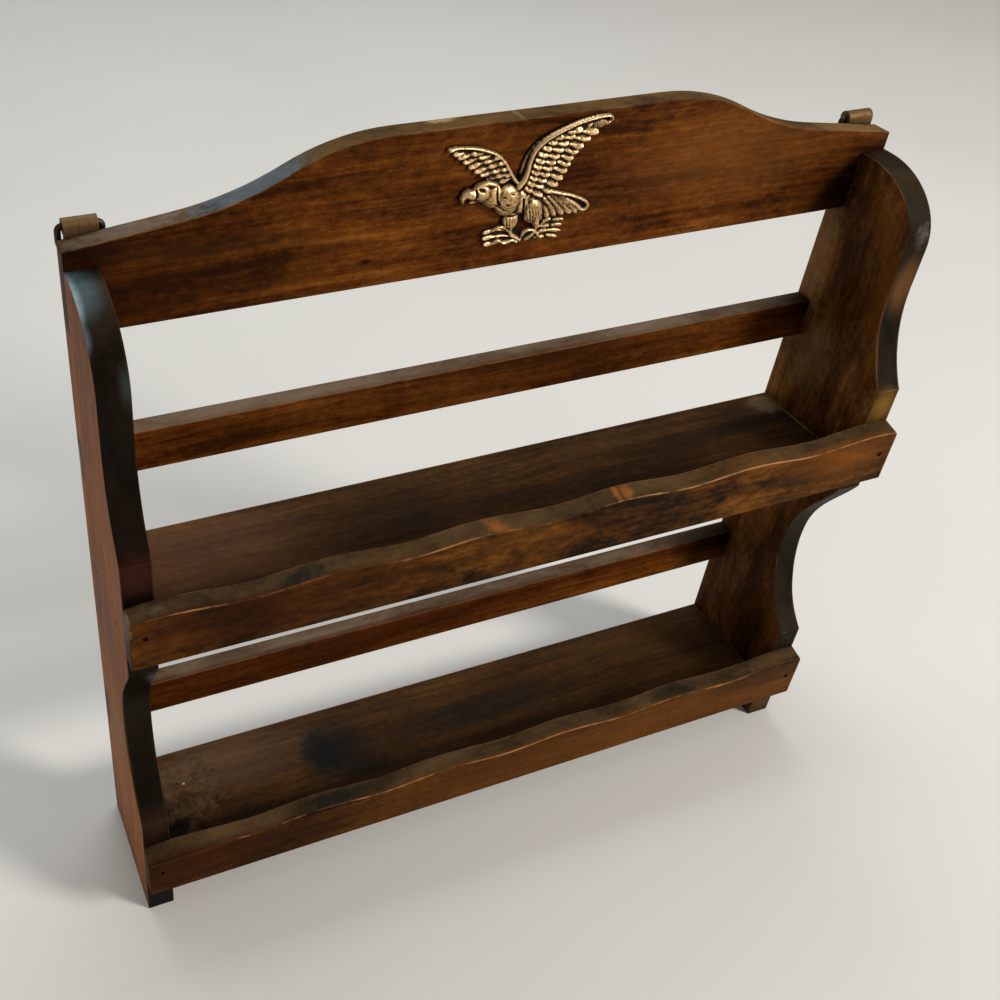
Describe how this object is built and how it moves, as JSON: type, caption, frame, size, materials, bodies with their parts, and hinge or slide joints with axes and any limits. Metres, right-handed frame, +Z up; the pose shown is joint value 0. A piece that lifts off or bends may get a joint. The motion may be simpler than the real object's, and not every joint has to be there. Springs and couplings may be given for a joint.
{
  "type": "wall shelf",
  "caption": "Tiered wooden wall shelf for small jars, with lipped shelves, scrolled sides, an arched crest bearing a cast eagle, and D-ring hangers on its back.",
  "frame": {"origin": "on the ground, in the middle of the shelf's outer box", "axes": "+Z up, +X along the shelf to the viewer's right, +Y from the front lips to the wall"},
  "size_m": [0.356, 0.075, 0.3437],
  "materials": {
    "stained_wood": "dark walnut stain, satin, worn at the arrises",
    "antique_brass": "cast, antiqued, dark in the recesses",
    "hanger_metal": "tarnished brass plate",
    "fastener_steel": "darkened"
  },
  "bodies": {
    "rack": {"crest_rail": "stained_wood", "left_side": "stained_wood", "right_side": "stained_wood", "upper_shelf": "stained_wood", "lower_shelf": "stained_wood", "upper_front_lip": "stained_wood", "lower_front_lip": "stained_wood", "upper_back_rail": "stained_wood", "lower_back_rail": "stained_wood", "eagle_emblem": "antique_brass", "left_hanger_strap": "hanger_metal", "right_hanger_strap": "hanger_metal", "hanger_screws": "fastener_steel", "shelf_nails": "fastener_steel", "lip_brads": "fastener_steel", "crest_nails": "fastener_steel", "rail_nails": "fastener_steel"},
    "left_ring": {"left_hanger_ring": "hanger_metal"},
    "right_ring": {"right_hanger_ring": "hanger_metal"}
  },
  "joints": [
    {"name": "left_ring_swing", "type": "hinge", "parent": "rack", "child": "left_ring", "pos_m": [-0.169, 0.03475, 0.3207], "axis": [1, 0, 0], "range_deg": [0, 265]},
    {"name": "right_ring_swing", "type": "hinge", "parent": "rack", "child": "right_ring", "pos_m": [0.169, 0.03475, 0.3207], "axis": [1, 0, 0], "range_deg": [0, 265]}
  ]
}
